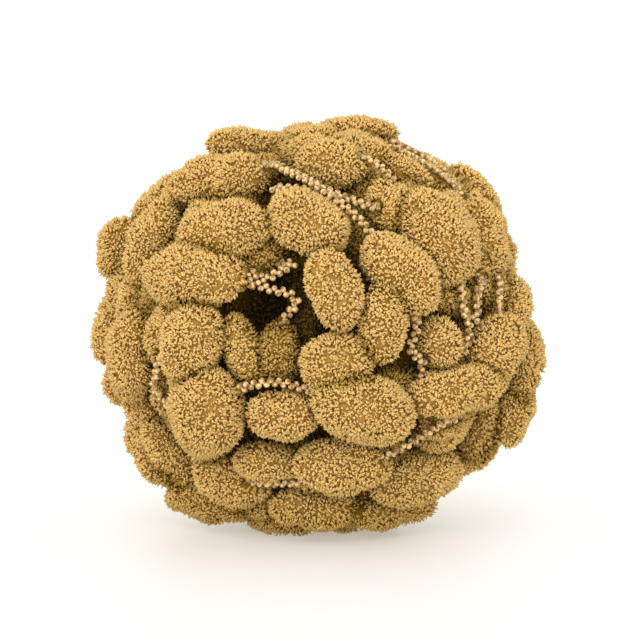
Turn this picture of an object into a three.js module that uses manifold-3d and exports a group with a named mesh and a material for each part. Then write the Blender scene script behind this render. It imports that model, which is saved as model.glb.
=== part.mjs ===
// Ball of loop yarn: one strand of plush pompoms on a braided bead chain, wound into a ball.
// Millimetres, +Z up, the ball rests at the origin and the side with the deep hollow faces -Y.
import * as THREE from "three";
import { mergeVertices } from "three/addons/utils/BufferGeometryUtils.js";
import Module from "manifold-3d";

const wasm = await Module();
wasm.setup();

// The wound ball, about 170 mm wide and 159 mm tall, with its middle above the resting plane.
const BALL_MIDDLE = new THREE.Vector3(0, 0, 79.5);
// Half sizes of the wound layers under the pompoms.
const CORE = new THREE.Vector3(68, 68, 63);
// Where the middles of the pompoms of the far side lie.
const FAR_SHELL = new THREE.Vector3(72, 73, 66.5);
// A pompom is a little flatter from the middle of the ball outwards than across.
const POMPOM_FLATNESS = 0.95;
const POMPOM_DETAIL = 2;
// The braided chain between two pompoms: two rows of beads, as one round rib.
const CHAIN_RADIUS = 1.8;
const CHAIN_SIDES = 6;
const CHAIN_STEP = 5;
// How far the lowest pompoms would reach down from the middle if the table did not press them flat.
const PRESSED_REACH = 81.5;
const BIG = 400;
const FACE_LIMIT = 11800;

// Every placed pompom is a row with these columns: directions in degrees seen from the middle of
// the ball (azimuth 0 is -Y, positive to +X), the distance of its middle, the turn of its long
// axis from level, its length and width, and how far its first end dips into the ball.
const POMPOM_COLUMNS = ["azimuth", "elevation", "out", "turn", "length", "width", "dip"];

const TOP_POMPOMS = [
  [-91, 69, 71, 129, 41, 17, 21],
  [-50, 49, 73, 16, 43, 20, 6],
  [-107, 88, 69, 142, 26, 14, 2],
  [7, 57, 72, -15, 28, 20, 0],
  [41, 68, 70, -68, 22, 11, 0],
  [54, 55, 70, -66, 22, 13, 0],
  [113, 77, 74, -148, 36, 14, -4],
  [106, 52, 71, -131, 32, 16, 0],
  [-96, 38, 76, 133, 32, 15, 8],
  [27, 40, 72, 65, 22, 16, -6],
];

const LEFT_POMPOMS = [
  [-30, 29, 77, 14, 38, 22, 0],
  [-37, 16, 78, 3, 43, 24, 2],
  [-35, -1, 79, 71, 31, 24, 0],
  [-33, -20, 79, 66, 36, 28, 0],
  [-68, 26, 74, 97, 34, 19, 0],
  [-66, -7, 77, 60, 39, 20, 0],
  [-82, -25, 74, -41, 24, 15, 23],
  [-58, -19, 70, 63, 18, 12, 5],
  [-63, 8, 68, 84, 22, 15, 0],
  [-91, 20, 82, 60, 28, 17, -3],
  [-89, 9, 75, 107, 22, 15, 0],
  [-92, -2, 80, 130, 34, 16, 1],
  [-89, -18, 81, -120, 20, 12, 5],
];

const HOLLOW_POMPOMS = [
  [-23, -3, 71, -67, 27, 15, 0],
  [-12, -4, 67, 85, 25, 16, 0],
  [-20, 24, 66, 27, 22, 16, 0],
  [-2, 8, 59, 85, 34, 18, 0],
  [17, 34, 63, 71, 25, 15, 0],
  [24, -14, 68, 5, 19, 14, 0],
  [43, 11, 71, -4, 18, 13, -8],
];

const MIDDLE_POMPOMS = [
  [-11, -22, 74, 2, 26, 19, 0],
  [5, -6, 76, -1, 27, 22, 0],
  [12, -18, 80, -16, 39, 25, 0],
  [4, 13, 79, -79, 30, 19, 0],
  [-3, 32, 77, -27, 31, 23, 0],
  [39, 27, 77, -74, 38, 27, 0],
  [23, 17, 78, -51, 36, 23, 0],
  [17, 5, 78, 84, 30, 18, 0],
];

const RIGHT_POMPOMS = [
  [56, -5, 78, 46, 31, 21, 0],
  [40, -14, 80, 8, 43, 18, -3],
  [36, -2, 74, 79, 20, 18, 0],
  [80, -33, 74, 119, 31, 17, 17],
  [68, 27, 74, -122, 43, 16, 0],
  [41, -24, 75, 2, 20, 15, -6],
  [70, 9, 68, 50, 33, 17, 0],
  [85, -23, 81, 48, 39, 17, 6],
  [90, -11, 80, 50, 40, 16, 2],
  [74, 5, 75, 50, 31, 15, -1],
  [100, 20, 75, -62, 22, 13, 1],
  [92, 39, 77, -78, 29, 16, 0],
  [93, 26, 75, -60, 34, 12, 7],
];

const BOTTOM_POMPOMS = [
  [8, -38, 76, 4, 35, 22, 0],
  [-20, -41, 71, -4, 26, 17, 0],
  [-44, -50, 73, -11, 34, 20, 1],
  [-77, -43, 76, -113, 43, 19, -5],
  [-86, -38, 80, -48, 38, 19, -2],
  [-70, -57, 80, -31, 43, 18, 17],
  [-2, -60, 76, -10, 37, 17, 0],
  [-41, -62, 75, -4, 19, 13, 8],
  [45, -48, 74, 9, 43, 22, -4],
  [43, -60, 79, 7, 42, 14, -5],
  [27, -65, 73, 61, 22, 17, 0],
  [77, -45, 63, 30, 28, 13, -34],
  [86, -40, 78, 119, 29, 14, -5],
];

// Length and width of the pompoms of the far side, tried in this order.
const FAR_POMPOM_SIZES = [
  [38, 24],
  [33, 21],
  [27, 18],
  [21, 15],
];
const FAR_TRIES = 700;
const FAR_CLOSENESS = 0.84;
// Seen from the middle, the far side starts behind this share of -Y and the near middle before it.
const FAR_SIDE = 0.12;
const NEAR_MIDDLE = -0.7;
// How much deeper the pompoms in the gaps of the near side sit.
const NEAR_SINK = 1.5;
// Places left open down to the wound layers: azimuth, elevation and half width in degrees.
const LEFT_OPEN = [
  [-12, 6, 24],
  [-9, 44, 16],
];

// Where the chain shows between pompoms: azimuth, elevation and distance of its middle line.
const CHAIN_OVER_LOW_POMPOM = [
  [-23.5, -14.4, 75],
  [-18.5, -12.6, 75.5],
  [-13.3, -11.9, 75],
  [-7.8, -12.3, 75],
  [-2.5, -13.9, 75],
];
const CHAIN_ABOVE_HOLLOW = [
  [-20.1, 18, 75],
  [-18, 17.7, 73.7],
  [-15.8, 16.9, 72.3],
  [-11.5, 20, 70.5],
  [-8, 22.3, 69],
];
const CHAIN_LOOP_IN_HOLLOW = [
  [-21.4, 15.8, 76],
  [-17.5, 14.8, 74.5],
  [-13.6, 13.7, 73],
  [-9.1, 13.1, 71.5],
  [-6.5, 10.6, 70],
  [-8.2, 8.4, 68.5],
  [-10.8, 5.7, 67],
];
const CHAIN_LONG_DIAGONAL = [
  [-24.5, 53.8, 76],
  [-19.3, 52.5, 76],
  [-11.2, 48.4, 76],
  [-3.8, 44.9, 76],
  [2.5, 40.6, 76],
  [8.3, 35.9, 76],
  [11.9, 32.7, 76],
  [16.6, 27.8, 76],
];
const CHAIN_BESIDE_DIAGONAL = [
  [-16.9, 43.5, 77],
  [-6.7, 43.6, 76.3],
  [1.1, 43.8, 76],
  [10, 40.6, 76],
  [17.7, 37.5, 76],
];
const CHAIN_NEAR_TOP = [
  [20.1, 55.6, 77],
  [24.4, 54.2, 77],
  [29.5, 47, 77],
];
const CHAIN_ON_SHOULDER = [
  [101.3, 67.1, 75.6],
  [97.6, 57.8, 75],
  [95.4, 48.4, 75.1],
  [94.5, 43.2, 74.7],
];
const CHAIN_RIGHT_INNER = [
  [42.8, 14.9, 77],
  [42.4, 9.5, 77],
  [43, 5.1, 77],
  [44.4, 1.3, 77],
  [42.3, -4.5, 77],
];
const CHAIN_RIGHT_OUTER = [
  [61.4, 12.9, 78],
  [59.1, 8.4, 78],
  [58.7, 3.5, 78],
];
const CHAIN_RIGHT_TURN = [
  [26.8, 6.5, 77],
  [27, 2.2, 76.7],
  [25.2, -2, 76.5],
  [27, -4.8, 75.7],
  [29.8, -6.5, 75.3],
  [29.6, -9.9, 75],
];
const CHAIN_LOWER_RIGHT = [
  [21.3, -32.9, 79],
  [28.8, -28.4, 79],
  [37.2, -23.7, 79],
  [43.4, -22.5, 79],
];
const CHAIN_BELOW = [
  [-26.9, -47, 75],
  [-14, -46.7, 75],
  [-7.6, -45.5, 75],
];
const CHAIN_LEFT = [
  [-55, -8, 73],
  [-61.2, -14.3, 72],
  [-63.5, -19, 72.5],
  [-58.4, -23.2, 73],
];
const CHAINS = [
  CHAIN_OVER_LOW_POMPOM,
  CHAIN_ABOVE_HOLLOW,
  CHAIN_LOOP_IN_HOLLOW,
  CHAIN_LONG_DIAGONAL,
  CHAIN_BESIDE_DIAGONAL,
  CHAIN_NEAR_TOP,
  CHAIN_ON_SHOULDER,
  CHAIN_RIGHT_INNER,
  CHAIN_RIGHT_OUTER,
  CHAIN_RIGHT_TURN,
  CHAIN_LOWER_RIGHT,
  CHAIN_BELOW,
  CHAIN_LEFT,
];

// The deep hollow left open on the side that faces -Y: where its middle lies, and its half sizes.
const HOLLOW = { azimuth: -12, elevation: 6, out: 67, across: 19, up: 18, deep: 22 };

function solidOf(geometry) {
  geometry.deleteAttribute("normal");
  geometry.deleteAttribute("uv");
  const merged = mergeVertices(geometry, 1e-4);
  return new wasm.Manifold(
    new wasm.Mesh({
      numProp: 3,
      vertProperties: new Float32Array(merged.attributes.position.array),
      triVerts: new Uint32Array(merged.index.array),
    }),
  );
}

function meshOf(solid, name) {
  const made = solid.getMesh();
  const geometry = new THREE.BufferGeometry();
  geometry.setAttribute("position", new THREE.BufferAttribute(made.vertProperties, 3));
  geometry.setIndex(new THREE.BufferAttribute(made.triVerts, 1));
  geometry.computeVertexNormals();
  const plush = new THREE.MeshStandardMaterial({ color: 0xc49a5e, roughness: 0.95, metalness: 0 });
  const mesh = new THREE.Mesh(geometry, plush);
  mesh.name = name;
  return mesh;
}

// Unit vector from the middle of the ball, azimuth 0 towards -Y.
function direction(azimuth, elevation) {
  const az = THREE.MathUtils.degToRad(azimuth);
  const el = THREE.MathUtils.degToRad(elevation);
  return new THREE.Vector3(Math.sin(az) * Math.cos(el), -Math.cos(az) * Math.cos(el), Math.sin(el));
}

// Middle, axes (long, across, outwards) and half sizes of one pompom.
function placed(pompom) {
  const outward = direction(pompom.azimuth, pompom.elevation);
  const az = THREE.MathUtils.degToRad(pompom.azimuth);
  const turn = THREE.MathUtils.degToRad(pompom.turn);
  const dip = THREE.MathUtils.degToRad(pompom.dip);
  const east = new THREE.Vector3(Math.cos(az), Math.sin(az), 0);
  const north = new THREE.Vector3().crossVectors(outward, east);
  const level = east.multiplyScalar(Math.cos(turn)).addScaledVector(north, Math.sin(turn));
  const across = new THREE.Vector3().crossVectors(outward, level);
  const long = level.clone().multiplyScalar(Math.cos(dip)).addScaledVector(outward, -Math.sin(dip));
  const up = outward.clone().multiplyScalar(Math.cos(dip)).addScaledVector(level, Math.sin(dip));
  return {
    middle: BALL_MIDDLE.clone().addScaledVector(outward, pompom.out),
    axes: [long, across, up],
    half: [pompom.length / 2, pompom.width / 2, (pompom.width * POMPOM_FLATNESS) / 2],
  };
}

// Half size of a placed pompom towards a unit vector.
function reach(place, unit) {
  let sum = 0;
  for (let i = 0; i < 3; i++) {
    sum += (place.axes[i].dot(unit) / place.half[i]) ** 2;
  }
  return 1 / Math.sqrt(sum);
}

// The same closed skin with at most so many faces: the short edge whose loss moves the skin least
// goes first, so slivers vanish and the rounds and the valleys between the pompoms stay.
function fewerFaces(solid, faceLimit) {
  const made = solid.getMesh();
  const spot = Float64Array.from(made.vertProperties);
  const faces = [];
  const facesOf = Array.from({ length: made.numVert }, () => new Set());
  for (let i = 0; i < made.numTri; i++) {
    faces.push([...made.triVerts.subarray(3 * i, 3 * i + 3)]);
    for (const corner of faces[i]) facesOf[corner].add(i);
  }
  const at = (v) => new THREE.Vector3(spot[3 * v], spot[3 * v + 1], spot[3 * v + 2]);
  const crossOf = (a, b, c) => new THREE.Vector3().crossVectors(b.clone().sub(a), c.clone().sub(a));

  // Each corner keeps the sum of squared distances to the planes round it, as ten numbers.
  const planes = Array.from({ length: made.numVert }, () => new Float64Array(10));
  for (const face of faces) {
    const [a, b, c] = face.map(at);
    const normal = crossOf(a, b, c);
    const size = normal.length();
    if (size < 1e-9) continue;
    normal.divideScalar(size);
    const p = [normal.x, normal.y, normal.z, -normal.dot(a)];
    for (const corner of face) {
      let k = 0;
      for (let i = 0; i < 4; i++) {
        for (let j = i; j < 4; j++) planes[corner][k++] += size * p[i] * p[j];
      }
    }
  }
  const costAt = (q, v) =>
    q[0] * v.x * v.x + 2 * q[1] * v.x * v.y + 2 * q[2] * v.x * v.z + 2 * q[3] * v.x +
    q[4] * v.y * v.y + 2 * q[5] * v.y * v.z + 2 * q[6] * v.y +
    q[7] * v.z * v.z + 2 * q[8] * v.z + q[9];

  function bestSpot(a, b) {
    const q = planes[a].map((value, i) => value + planes[b][i]);
    const from = at(a);
    const to = at(b);
    const options = [from, to, from.clone().add(to).multiplyScalar(0.5)];
    const system = new THREE.Matrix3().set(q[0], q[1], q[2], q[1], q[4], q[5], q[2], q[5], q[7]);
    if (Math.abs(system.determinant()) > 1e-3) {
      const free = new THREE.Vector3(-q[3], -q[6], -q[8]).applyMatrix3(system.clone().invert());
      if (free.distanceTo(options[2]) < 1.5 * from.distanceTo(to)) options.push(free);
    }
    const resting = from.z < 1e-6 || to.z < 1e-6;
    if (resting) options.forEach((option) => (option.z = 0));
    let best = null;
    for (const spotTried of options) {
      const cost = Math.max(0, costAt(q, spotTried)) + 1e-4 * spotTried.distanceToSquared(options[2]);
      if (!best || cost < best.cost) best = { cost, spot: spotTried };
    }
    best.cost += 2e-3 * from.distanceToSquared(to);
    return best;
  }

  const neighbours = (v) => {
    const found = new Set();
    for (const f of facesOf[v]) for (const corner of faces[f]) if (corner !== v) found.add(corner);
    return found;
  };
  const turnsOver = (v, gone, target) => {
    for (const f of facesOf[v]) {
      const face = faces[f];
      if (face.includes(gone)) continue;
      const before = face.map(at);
      const after = face.map((corner, i) => (corner === v ? target : before[i]));
      const old = crossOf(...before);
      const fresh = crossOf(...after);
      if (fresh.length() < 1e-4) return true;
      const longest = Math.max(...after.map((p, i) => p.distanceToSquared(after[(i + 1) % 3])));
      const shallow = fresh.length() / longest < 0.03;
      if (shallow && fresh.length() < old.length()) return true;
      if (old.length() > 1e-4 && old.dot(fresh) < 0.3 * old.length() * fresh.length()) return true;
    }
    return false;
  };

  const age = new Uint32Array(made.numVert);
  const heap = [];
  const swap = (i, j) => ([heap[i], heap[j]] = [heap[j], heap[i]]);
  const push = (entry) => {
    heap.push(entry);
    for (let i = heap.length - 1; i > 0; ) {
      const up = (i - 1) >> 1;
      if (heap[up].cost <= heap[i].cost) break;
      swap(i, up);
      i = up;
    }
  };
  const pop = () => {
    swap(0, heap.length - 1);
    const top = heap.pop();
    for (let i = 0; ; ) {
      let least = i;
      for (const child of [2 * i + 1, 2 * i + 2]) {
        if (child < heap.length && heap[child].cost < heap[least].cost) least = child;
      }
      if (least === i) break;
      swap(i, least);
      i = least;
    }
    return top;
  };
  const offer = (a, b) => push({ a, b, ages: [age[a], age[b]], ...bestSpot(a, b) });
  for (let v = 0; v < made.numVert; v++) {
    for (const other of neighbours(v)) if (other > v) offer(v, other);
  }

  let left = faces.length;
  while (left > faceLimit && heap.length) {
    const { a, b, ages, spot: target } = pop();
    if (age[a] !== ages[0] || age[b] !== ages[1] || !facesOf[a].size || !facesOf[b].size) continue;
    const shared = [...neighbours(a)].filter((v) => facesOf[v].size && neighbours(b).has(v));
    if (shared.length !== 2 || turnsOver(a, b, target) || turnsOver(b, a, target)) continue;
    for (const f of [...facesOf[b]]) {
      const face = faces[f];
      if (face.includes(a)) {
        for (const corner of face) facesOf[corner].delete(f);
        left -= 1;
      } else {
        face[face.indexOf(b)] = a;
        facesOf[a].add(f);
      }
      facesOf[b].delete(f);
    }
    spot.set(target.toArray(), 3 * a);
    planes[b].forEach((value, i) => (planes[a][i] += value));
    age[a] += 1;
    age[b] += 1;
    for (const v of neighbours(a)) offer(a, v);
  }
  const kept = new Set(facesOf.flatMap((set) => [...set]));
  const geometry = new THREE.BufferGeometry();
  geometry.setAttribute("position", new THREE.Float32BufferAttribute(spot, 3));
  geometry.setIndex([...kept].flatMap((f) => faces[f]));
  return solidOf(geometry.toNonIndexed());
}

function fits(place, others, closeness) {
  for (const other of others) {
    const way = other.middle.clone().sub(place.middle);
    const distance = way.length();
    if (distance > 46) continue;
    way.divideScalar(distance);
    if (distance < closeness * (reach(place, way) + reach(other, way))) return false;
  }
  return true;
}

const isWithin = (way, other, degrees) => way.dot(other) > Math.cos(THREE.MathUtils.degToRad(degrees));

// The far side, the underside and the gaps: ever smaller pompoms dropped wherever one still fits.
function farPompoms(nearSide) {
  const all = [...nearSide];
  FAR_POMPOM_SIZES.forEach(([length, width], stage) => {
    for (let i = 0; i < FAR_TRIES; i++) {
      const elevation = THREE.MathUtils.radToDeg(Math.asin(1 - (2 * (i + 0.5)) / FAR_TRIES));
      const azimuth = ((i * 137.508 + 40 * stage) % 360) - 180;
      const wobble = Math.sin(12.9898 * (i + 1) + 78.233 * stage);
      const way = direction(azimuth, elevation);
      const nearSide = way.y < FAR_SIDE;
      if (way.y < NEAR_MIDDLE || (nearSide && stage === 0)) continue;
      if (way.z < -0.8 && way.x > 0.3) continue;
      const isOpen = ([az, el, halfWidth]) => isWithin(way, direction(az, el), halfWidth);
      if (LEFT_OPEN.some(isOpen)) continue;
      const wide = width * (1 - 0.06 * wobble);
      const shell = 1 / Math.hypot(way.x / FAR_SHELL.x, way.y / FAR_SHELL.y, way.z / FAR_SHELL.z);
      const pressed = (PRESSED_REACH - (POMPOM_FLATNESS * wide) / 2) / -way.z;
      const hidden = nearSide ? NEAR_SINK : 0;
      const out = way.z < -0.93 ? pressed : shell + 2 * wobble - 1.5 * stage - hidden;
      for (let k = 0; k < 4; k++) {
        const turn = ((((k * 45 + 90 * wobble + 31 * i) % 180) + 180) % 180) - 90;
        const long = length * (1 + 0.08 * wobble);
        const pompom = { azimuth, elevation, out, turn, length: long, width: wide, dip: 0 };
        const place = placed(pompom);
        if (fits(place, all, FAR_CLOSENESS - 0.02 * stage)) {
          all.push(place);
          break;
        }
      }
    }
  });
  return all.slice(nearSide.length);
}

function ellipsoid(place, detail) {
  const ball = new THREE.IcosahedronGeometry(1, detail);
  const basis = new THREE.Matrix4().makeBasis(...place.axes);
  const scale = new THREE.Matrix4().makeScale(...place.half);
  const put = new THREE.Matrix4().makeTranslation(...place.middle.toArray());
  // The flat faces of the ball lie a little inside the round they stand for.
  const fullness = 1 + 0.18 / (detail + 1) ** 2;
  const full = new THREE.Matrix4().makeScale(fullness, fullness, fullness);
  return solidOf(ball.applyMatrix4(full.premultiply(scale).premultiply(basis).premultiply(put)));
}

// A round rib along a chain's middle line, closed at both ends.
function rib(row) {
  const points = row.map(([azimuth, elevation, out]) =>
    BALL_MIDDLE.clone().addScaledVector(direction(azimuth, elevation), out),
  );
  const path = new THREE.CatmullRomCurve3(points, false, "centripetal");
  const steps = Math.max(2, Math.round(path.getLength() / CHAIN_STEP));
  const round = new THREE.Shape();
  for (let j = 0; j < CHAIN_SIDES; j++) {
    const angle = (2 * Math.PI * j) / CHAIN_SIDES;
    const corner = [CHAIN_RADIUS * Math.cos(angle), CHAIN_RADIUS * Math.sin(angle)];
    if (j === 0) round.moveTo(...corner);
    else round.lineTo(...corner);
  }
  round.closePath();
  return solidOf(new THREE.ExtrudeGeometry(round, { steps, extrudePath: path, bevelEnabled: false }));
}

const NEAR_TABLES = [
  TOP_POMPOMS,
  LEFT_POMPOMS,
  HOLLOW_POMPOMS,
  MIDDLE_POMPOMS,
  RIGHT_POMPOMS,
  BOTTOM_POMPOMS,
];
const nearPompoms = NEAR_TABLES.flat().map((row) =>
  placed(Object.fromEntries(POMPOM_COLUMNS.map((name, i) => [name, row[i]]))),
);
const pompoms = [...nearPompoms, ...farPompoms(nearPompoms)];

// The wound layers, with the hollow scooped out before the pompoms are set on them.
const core = ellipsoid(
  {
    middle: BALL_MIDDLE,
    axes: [new THREE.Vector3(1, 0, 0), new THREE.Vector3(0, 1, 0), new THREE.Vector3(0, 0, 1)],
    half: CORE.toArray(),
  },
  5,
);
const scoop = placed({
  azimuth: HOLLOW.azimuth,
  elevation: HOLLOW.elevation,
  out: HOLLOW.out,
  turn: 0,
  length: 0,
  width: 0,
  dip: 0,
});
scoop.half = [HOLLOW.across, HOLLOW.up, HOLLOW.deep];
let ball = core.subtract(ellipsoid(scoop, 2));

for (const pompom of pompoms) {
  ball = ball.add(ellipsoid(pompom, POMPOM_DETAIL));
}
for (const chain of CHAINS) {
  ball = ball.add(rib(chain));
}

// Pressed flat where it rests.
const table = solidOf(new THREE.BoxGeometry(BIG, BIG, BIG).translate(0, 0, -BIG / 2));
ball = ball.subtract(table);
// Only the outer skin: what is shut in between pompoms is filled.
const skins = ball.decompose().sort((a, b) => b.volume() - a.volume());
ball = skins[0];

ball = fewerFaces(ball, FACE_LIMIT);

// The origin lies under the middle of the ball's outline seen from above.
const cover = ball.boundingBox();
const coverX = (cover.min[0] + cover.max[0]) / 2;
const coverY = (cover.min[1] + cover.max[1]) / 2;

const group = new THREE.Group();
group.add(meshOf(ball, "yarn_ball"));
group.position.set(-coverX, -coverY, 0);

export default group;
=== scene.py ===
import math

import bmesh
import bpy
import numpy as np
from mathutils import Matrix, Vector, noise


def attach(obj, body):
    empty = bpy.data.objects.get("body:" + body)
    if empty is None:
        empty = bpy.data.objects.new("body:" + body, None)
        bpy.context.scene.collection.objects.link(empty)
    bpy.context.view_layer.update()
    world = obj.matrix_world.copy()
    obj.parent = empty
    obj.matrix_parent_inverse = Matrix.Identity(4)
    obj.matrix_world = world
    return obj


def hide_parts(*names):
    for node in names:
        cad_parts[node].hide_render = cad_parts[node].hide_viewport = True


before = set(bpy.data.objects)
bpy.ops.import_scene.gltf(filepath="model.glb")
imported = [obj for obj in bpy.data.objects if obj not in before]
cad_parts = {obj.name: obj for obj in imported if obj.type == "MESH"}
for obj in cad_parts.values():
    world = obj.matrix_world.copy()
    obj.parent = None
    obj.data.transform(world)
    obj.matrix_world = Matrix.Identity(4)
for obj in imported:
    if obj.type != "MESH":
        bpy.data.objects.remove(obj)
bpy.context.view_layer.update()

# The view. The ball is seen from its open side, a little from above, from about 0.9 m, and its
# middle lies almost in the middle of the picture.
MM = 0.001
BALL_MIDDLE = np.array([0.461, 1.495, 79.5])
VIEW_DISTANCE = 900.0
VIEW_RISE = math.radians(5.0)
MM_PER_PIXEL = 0.385
PICTURE_PIXELS = 640
MIDDLE_RIGHT_OF_CENTRE = -1.0
MIDDLE_BELOW_CENTRE = 1.5

view = bpy.data.cameras.new("view")
view.sensor_width = 36.0
view.lens = view.sensor_width * VIEW_DISTANCE / MM_PER_PIXEL / PICTURE_PIXELS
view.shift_x = -MIDDLE_RIGHT_OF_CENTRE / PICTURE_PIXELS
view.shift_y = MIDDLE_BELOW_CENTRE / PICTURE_PIXELS
view.clip_end = 20.0
camera = bpy.data.objects.new("view", view)
bpy.context.scene.collection.objects.link(camera)
back_and_up = np.array([0, -math.cos(VIEW_RISE), math.sin(VIEW_RISE)])
camera.location = Vector((BALL_MIDDLE + VIEW_DISTANCE * back_and_up) * MM)
camera.rotation_euler = (math.pi / 2 - VIEW_RISE, 0, 0)
bpy.context.scene.camera = camera

# The pompoms. Plush ovals of cut pile about 25 mm thick, sitting on the strand every few
# centimetres, and wound so that they lie side by side all over the ball. Each row says where one
# lies: azimuth and elevation in degrees seen from the middle of the ball (azimuth 0 is the open
# side), distance of its middle, turn of its long axis from level, length, width, and how far its
# first end dips into the ball. Lengths are millimetres.
FLATNESS = 0.95
TOP_POMPOMS = [
    (-91, 69, 71, 129, 41, 17, 21),
    (-50, 49, 73, 16, 43, 20, 6),
    (-107, 88, 69, 142, 26, 14, 2),
    (7, 57, 72, -15, 28, 20, 0),
    (41, 68, 70, -68, 22, 11, 0),
    (54, 55, 70, -66, 22, 13, 0),
    (113, 77, 74, -148, 36, 14, -4),
    (106, 52, 71, -131, 32, 16, 0),
    (-96, 38, 76, 133, 32, 15, 8),
    (27, 40, 72, 65, 22, 16, -6),
]
LEFT_POMPOMS = [
    (-30, 29, 77, 14, 38, 22, 0),
    (-37, 16, 78, 3, 43, 24, 2),
    (-35, -1, 79, 71, 31, 24, 0),
    (-33, -20, 79, 66, 36, 28, 0),
    (-68, 26, 74, 97, 34, 19, 0),
    (-66, -7, 77, 60, 39, 20, 0),
    (-82, -25, 74, -41, 24, 15, 23),
    (-58, -19, 70, 63, 18, 12, 5),
    (-63, 8, 68, 84, 22, 15, 0),
    (-91, 20, 82, 60, 28, 17, -3),
    (-89, 9, 75, 107, 22, 15, 0),
    (-92, -2, 80, 130, 34, 16, 1),
    (-89, -18, 81, -120, 20, 12, 5),
]
HOLLOW_POMPOMS = [
    (-23, -3, 71, -67, 27, 15, 0),
    (-12, -4, 67, 85, 25, 16, 0),
    (-20, 24, 66, 27, 22, 16, 0),
    (-2, 8, 59, 85, 34, 18, 0),
    (17, 34, 63, 71, 25, 15, 0),
    (24, -14, 68, 5, 19, 14, 0),
    (43, 11, 71, -4, 18, 13, -8),
]
MIDDLE_POMPOMS = [
    (-11, -22, 74, 2, 26, 19, 0),
    (5, -6, 76, -1, 27, 22, 0),
    (12, -18, 80, -16, 39, 25, 0),
    (4, 13, 79, -79, 30, 19, 0),
    (-3, 32, 77, -27, 31, 23, 0),
    (39, 27, 77, -74, 38, 27, 0),
    (23, 17, 78, -51, 36, 23, 0),
    (17, 5, 78, 84, 30, 18, 0),
]
RIGHT_POMPOMS = [
    (56, -5, 78, 46, 31, 21, 0),
    (40, -14, 80, 8, 43, 18, -3),
    (36, -2, 74, 79, 20, 18, 0),
    (80, -33, 74, 119, 31, 17, 17),
    (68, 27, 74, -122, 43, 16, 0),
    (41, -24, 75, 2, 20, 15, -6),
    (70, 9, 68, 50, 33, 17, 0),
    (85, -23, 81, 48, 39, 17, 6),
    (90, -11, 80, 50, 40, 16, 2),
    (74, 5, 75, 50, 31, 15, -1),
    (100, 20, 75, -62, 22, 13, 1),
    (92, 39, 77, -78, 29, 16, 0),
    (93, 26, 75, -60, 34, 12, 7),
]
BOTTOM_POMPOMS = [
    (8, -38, 76, 4, 35, 22, 0),
    (-20, -41, 71, -4, 26, 17, 0),
    (-44, -50, 73, -11, 34, 20, 1),
    (-77, -43, 76, -113, 43, 19, -5),
    (-86, -38, 80, -48, 38, 19, -2),
    (-70, -57, 80, -31, 43, 18, 17),
    (-2, -60, 76, -10, 37, 17, 0),
    (-41, -62, 75, -4, 19, 13, 8),
    (45, -48, 74, 9, 43, 22, -4),
    (43, -60, 79, 7, 42, 14, -5),
    (27, -65, 73, 61, 22, 17, 0),
    (77, -45, 63, 30, 28, 13, -34),
    (86, -40, 78, 119, 29, 14, -5),
]
# The rest of the ball: ever smaller pompoms laid wherever one still fits, a little deeper where
# they fill a gap of the open side. Some places of that side stay open: azimuth, elevation and
# half width in degrees.
FAR_SHELL = np.array([72.0, 73.0, 66.5])
FAR_SIZES = [(38, 24), (33, 21), (27, 18), (21, 15)]
FAR_TRIES = 700
FAR_CLOSENESS = 0.84
FAR_SIDE = 0.12
NEAR_MIDDLE = -0.7
NEAR_SINK = 1.5
PRESSED_REACH = 81.5
LEFT_OPEN = [(-12, 6, 24), (-9, 44, 16)]
# Even spacing over a round form, and small differences from one pompom to the next.
GOLDEN_ANGLE = 137.508
SIZE_SHIFT = 40
SPOT_TURN = 31
TURN_STEP = 45
WOBBLE_PER_SPOT = 12.9898
WOBBLE_PER_SIZE = 78.233
LONGEST_REACH = 46
# The underside starts here, and this far down on the right the near pompoms fill the ball.
UNDERSIDE = -0.93
LOW_RIGHT = (-0.8, 0.3)


def direction(azimuth, elevation):
    az, el = math.radians(azimuth), math.radians(elevation)
    return np.array([math.sin(az) * math.cos(el), -math.cos(az) * math.cos(el), math.sin(el)])


def placed(row):
    azimuth, elevation, out, turn, length, width, dip = row
    outward = direction(azimuth, elevation)
    az, turn, dip = math.radians(azimuth), math.radians(turn), math.radians(dip)
    east = np.array([math.cos(az), math.sin(az), 0.0])
    level = east * math.cos(turn) + np.cross(outward, east) * math.sin(turn)
    across = np.cross(outward, level)
    along = level * math.cos(dip) - outward * math.sin(dip)
    up = outward * math.cos(dip) + level * math.sin(dip)
    half = np.array([length / 2, width / 2, width * FLATNESS / 2])
    return BALL_MIDDLE + outward * out, np.stack([along, across, up]), half


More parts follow.
